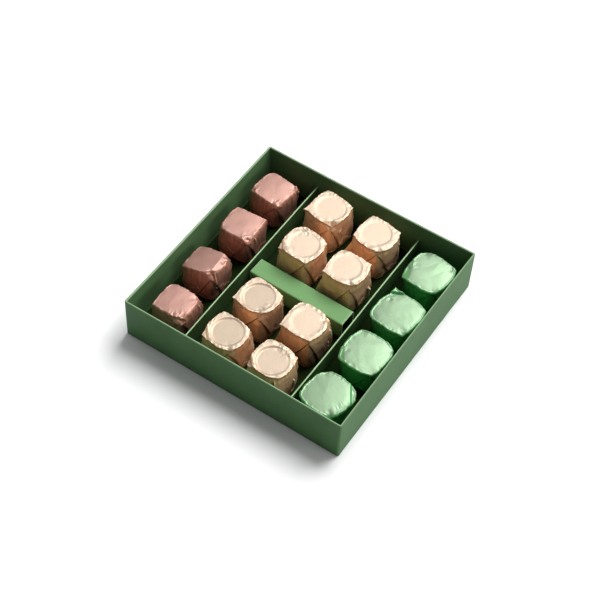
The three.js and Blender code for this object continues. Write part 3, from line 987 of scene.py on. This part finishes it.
GOLD = [
    dict(at=(-19.2, 61.9), turn=-7, deep=0.9, halves=(13.4, 12.4, 12.8, 13.0),
         reach=(16.6, 16.2, 17.8, 14.6), droop=(0.4, 0.2, 0.1, 1.4), flaps=[(318, 11.2, 0, 0.5)],
         edges=[(300, 1.5, 312, 6, 0.35, 0.6), (334, 9, 342, 8, 0.5, 0.6)],
         crumples=[(316, 14, 0.5, 3, 0.7), (45, 15, 0, 2.6, 0.5), (120, 13, 0, 3, 0.25)]),
    dict(at=(18.0, 60.9), turn=-7, halves=(15.3, 12.6, 12.3, 13.1),
         reach=(17.6, 16.1, 15.2, 15.2), droop=(0.3, 0.2, 0.1, 0.8), skirt=(0, 0, 3, 0.5),
         slope=1.2, slope_to=200, dimple_x=-0.2, edges=[(30, 6, 26, 18, 0.35, 1.0)],
         crumples=[(300, 13.5, 1.5, 3, 0.7), (45, 15.5, 0, 2.2, 0.4)]),
    dict(at=(-16.8, 25.2), turn=-6, halves=(14.2, 13.3, 13.2, 12.6),
         reach=(16.6, 15.1, 16.4, 16.6), droop=(0.6, 0.2, 0.5, 0.2), flaps=[(222, 13.4, 1.8, 0)],
         crumples=[(240, 13, 1, 4, 0.4), (120, 13, 0, 5, 0.4)]),
    dict(at=(17.4, 25.1), turn=-1, halves=(15.0, 13.0, 12.4, 12.6),
         reach=(17.9, 15.1, 16.1, 14.6), droop=(0.2, 0.2, 0.1, 0.9), skirt=(0.5, 0, 2, 0.5),
         slope=1.2, slope_to=200, dimple_x=-0.6,
         edges=[(22, 17, 18, 23, 0.7, 2.2), (36, 6, 34, 10, 0.35, 1.0)],
         crumples=[(130, 13.5, 0, 2.4, 0.4), (330, 13, 1, 3, 0.25)]),
    dict(at=(-16.4, -27.6), turn=-8, deep=1.1, foot=0.45, halves=(14.4, 12.8, 12.9, 12.5),
         reach=(16.8, 15.8, 16.6, 13.4), roundness=(1.32, 1.14, 1.3, 1.3),
         droop=(0.1, 0.1, 0.1, 0.7), **STAMPED,
         edges=[(30, 3, 28, 8, 0.35, 0.8)],
         crumples=[(358, 10, 0, 1.8, 0.5), (335, 10.6, 0, 1.6, 0.4), (270, 13, 2, 3, 0.6)]),
    dict(at=(20.0, -26.4), turn=-3, deep=1.08, foot=0.6, halves=(13.8, 12.7, 13.4, 12.6),
         reach=(15.7, 16.2, 17.5, 15.7), droop=(1.2, 0.3, 0.1, 0.1), skirt=(0.5, 0, 3, 0),
         slope=1.2, slope_to=200, dimple=0.15, flaps=[(43, 13.4, 0.9, 0)],
         edges=[(30, 6, 27, 12, 0.45, 1.3), (22, 17, 20, 20, 0.4, 1.2)],
         crumples=[(42, 14, 0.5, 3, 0.5), (0, 13, 1, 3, 0.35)]),
    dict(at=(-17.0, -61.8), turn=-4, halves=(14.3, 12.0, 13.0, 13.2),
         reach=(15.4, 16.1, 15.8, 14.8), droop=(0.3, 0.2, 0.4, 1), flaps=[(225, 12.6, 1.2, 0)],
         **STAMPED, edges=[(28, 4, 26, 9, 0.35, 0.8)],
         crumples=[(300, 13.5, 1, 2.2, 1.1), (250, 13, 1, 3, 0.3)]),
    dict(at=(18.8, -63.7), turn=-4, halves=(14.0, 14.0, 12.9, 12.0),
         reach=(17.0, 16.2, 15.6, 14.0), droop=(0.2, 0.3, 1.2, 0.4), flaps=[(223, 12.8, 2.2, 0)],
         **STAMPED, edges=[(18, 14, 14, 20, 0.7, 2.0)],
         crumples=[(95, 12, 0, 3.5, 0.4), (60, 12, 0, 3, 0.35), (270, 13, 1, 3, 0.4)]),
]

# %% Mint pralines
MINT = [
    dict(at=(61.8, 59.5), turn=-7, halves=(15.8, 14.6, 15.3, 15.5),
         reach=(18.2, 17.3, 18.4, 17.2), droop=(0.4, 0.8, 0.6, 0.5), slope=3, slope_to=250,
         flaps=[(205, 12.6, 0.3, 0.45)], crumples=[(45, 16, 1, 3, 0.7), (200, 14, 0.5, 4, 0.5)]),
    dict(at=(62.7, 18.9), turn=-7, halves=(15.0, 15.3, 16.5, 15.5),
         reach=(18.3, 20.8, 18.9, 18.3), roundness=(1.25, 1.36, 1.2, 1.25),
         droop=(0.2, 0.5, 0.6, 0.8), slope=3, slope_to=215,
         flaps=[(122, 15.2, -1.3, -0.2)], crumples=[(155, 13, 0, 3, 0.35)]),
    dict(at=(62.6, -20.1), turn=-3, halves=(14.8, 15.8, 16.3, 15.2),
         reach=(17.9, 19.8, 18.4, 17.4), droop=(0.5, 0.4, 0.6, 0.5), slope=1, slope_to=215,
         flaps=[(215, 15.0, 0.5, 0.3)], crumples=[(210, 14, 1, 3, 0.3)]),
    dict(at=(58.9, -60.1), turn=-8, halves=(16.4, 16.0, 15.5, 15.3),
         reach=(18.6, 17.1, 17.8, 17.2), droop=(0.6, 0.5, 0.3, 1.4), slope=3, slope_to=215,
         flaps=[(40, 14.6, 1.6, 0)], crumples=[(350, 13, 0.5, 3, 0.35)]),
]


# %% Lay out the rows
def fill_in(piece, random):
    """Draws what a praline's line leaves out: crease slopes, turned-up foil, fins and ripple."""
    piece.setdefault("flaps", [])
    piece.setdefault("edges", [])
    narrow, wide = random.uniform(0.26, 0.42, 4), random.uniform(0.5, 0.72, 4)
    piece["slopes"] = np.stack([narrow, wide], axis=-1)
    steep, shift = random.uniform(1.0, 1.6, 4), random.uniform(-3, 3, 4)
    piece["tucks"] = np.stack([steep, shift], axis=-1)
    piece["fins"] = random.uniform(0.2, 0.6, 4) + [0.7, 0, 0, 0]
    piece["skirt"] = random.uniform(0, 0.8, 4) + piece.get("skirt", 0)
    waves = zip((7, 11, 19, 31), random.uniform(0, 2 * pi, 4))
    piece["ripple"] = sum(0.1 * np.sin(n * ANGLE + wave) for n, wave in waves)
    return piece


random = np.random.default_rng(7)
pralines = []
for kind_name, row in (("rose", ROSE), ("gold", GOLD), ("mint", MINT)):
    for number, piece in enumerate(row, start=1):
        pralines.append(make_praline(kind_name, number, fill_in(piece, random)))
face_count = sum(len(piece.data.polygons) for piece in pralines)
print("Pralines:", len(pralines), "with", face_count, "faces")

# %% [markdown]
# ## Floor, light and camera
#
# The box stands on a plain pale floor. Foil shows its light more than its own colour, so each
# softbox has its job. The key, a strong one high at the back, lights the paper and throws a soft
# shadow to the front. A wide dim one at the back is what the flat tops mirror. Two at the sides
# open up the folds in the foil, and a low one on the right gives the outer wall there its glow.
#
# The camera was fitted to the tray's corners: where it stands, how it is rolled, and its lens.

# %% Stage
FLOOR_SIZE = 3.0
FLOOR_LEVEL = -0.0002
corners = [(sx * FLOOR_SIZE, sy * FLOOR_SIZE, FLOOR_LEVEL)
           for sx, sy in ((-1, -1), (1, -1), (1, 1), (-1, 1))]
floor_mesh = bpy.data.meshes.new("floor")
floor_mesh.from_pydata(corners, [], [(0, 1, 2, 3)])
floor = bpy.data.objects.new("floor", floor_mesh)
bpy.context.collection.objects.link(floor)
floor_material, floor_tree = new_material("floor_white")
white = add(floor_tree, "BsdfPrincipled", {
    "Base Color": colour("#F2F2F2"), "Roughness": 0.9, "Specular IOR Level": 0.1})
add(floor_tree, "OutputMaterial", {"Surface": white.outputs["BSDF"]})
floor_mesh.materials.append(floor_material)

# %% Lights
world = bpy.data.worlds.new("studio")
world.use_nodes = True
glow = world.node_tree.nodes["Background"].inputs
glow["Color"].default_value = colour("#F4F6F8")
glow["Strength"].default_value = 0.14
bpy.context.scene.world = world


def softbox(name, direction, distance, size, watts):
    """A square area light in a direction from the box, facing it."""
    lamp = bpy.data.lights.new(name, "AREA")
    lamp.shape = "SQUARE"
    lamp.size = size
    lamp.energy = watts
    holder = bpy.data.objects.new(name, lamp)
    towards = Vector(direction).normalized()
    holder.location = towards * distance
    holder.rotation_euler = towards.to_track_quat("Z", "Y").to_euler()
    bpy.context.collection.objects.link(holder)


softbox("key", (0.12, 0.62, 1.0), 2.0, 1.3, 58.0)
softbox("back_fill", (-0.26, 0.66, 0.80), 2.0, 1.7, 4.5)
softbox("left_fill", (-1.0, 0.05, 0.5), 1.4, 0.9, 4.0)
softbox("right_fill", (1.0, 0.0, 0.42), 1.4, 0.7, 4.4)
softbox("right_low", (1.0, 0.25, 0.12), 1.4, 0.3, 2.2)

# %% Camera
AZIMUTH = radians(30.77)
ELEVATION = radians(53.13)
ROLL = radians(3.61)
DISTANCE = 1.014
SHIFT_RIGHT = -0.00066
SHIFT_UP = 0.00566
FRAME_PIXELS = 600
FOCAL_PIXELS = 1520.2
SENSOR = 36.0

right = Vector((cos(AZIMUTH), sin(AZIMUTH), 0))
back = Vector((sin(AZIMUTH) * cos(ELEVATION),
               -cos(AZIMUTH) * cos(ELEVATION), sin(ELEVATION)))
up = back.cross(right)
rolled_right = right * cos(ROLL) + up * sin(ROLL)
rolled_up = up * cos(ROLL) - right * sin(ROLL)
lens = bpy.data.cameras.new("camera")
lens.sensor_width = SENSOR
lens.lens = SENSOR * FOCAL_PIXELS / FRAME_PIXELS
lens.clip_start = 0.01
camera = bpy.data.objects.new("camera", lens)
place = rolled_right * SHIFT_RIGHT + rolled_up * SHIFT_UP + back * DISTANCE
facing = Matrix((rolled_right, rolled_up, back)).transposed().to_4x4()
camera.matrix_world = Matrix.Translation(place) @ facing
bpy.context.collection.objects.link(camera)
bpy.context.scene.camera = camera
bpy.context.scene.view_settings.view_transform = "Standard"
print("Lens:", round(lens.lens, 1), "mm")
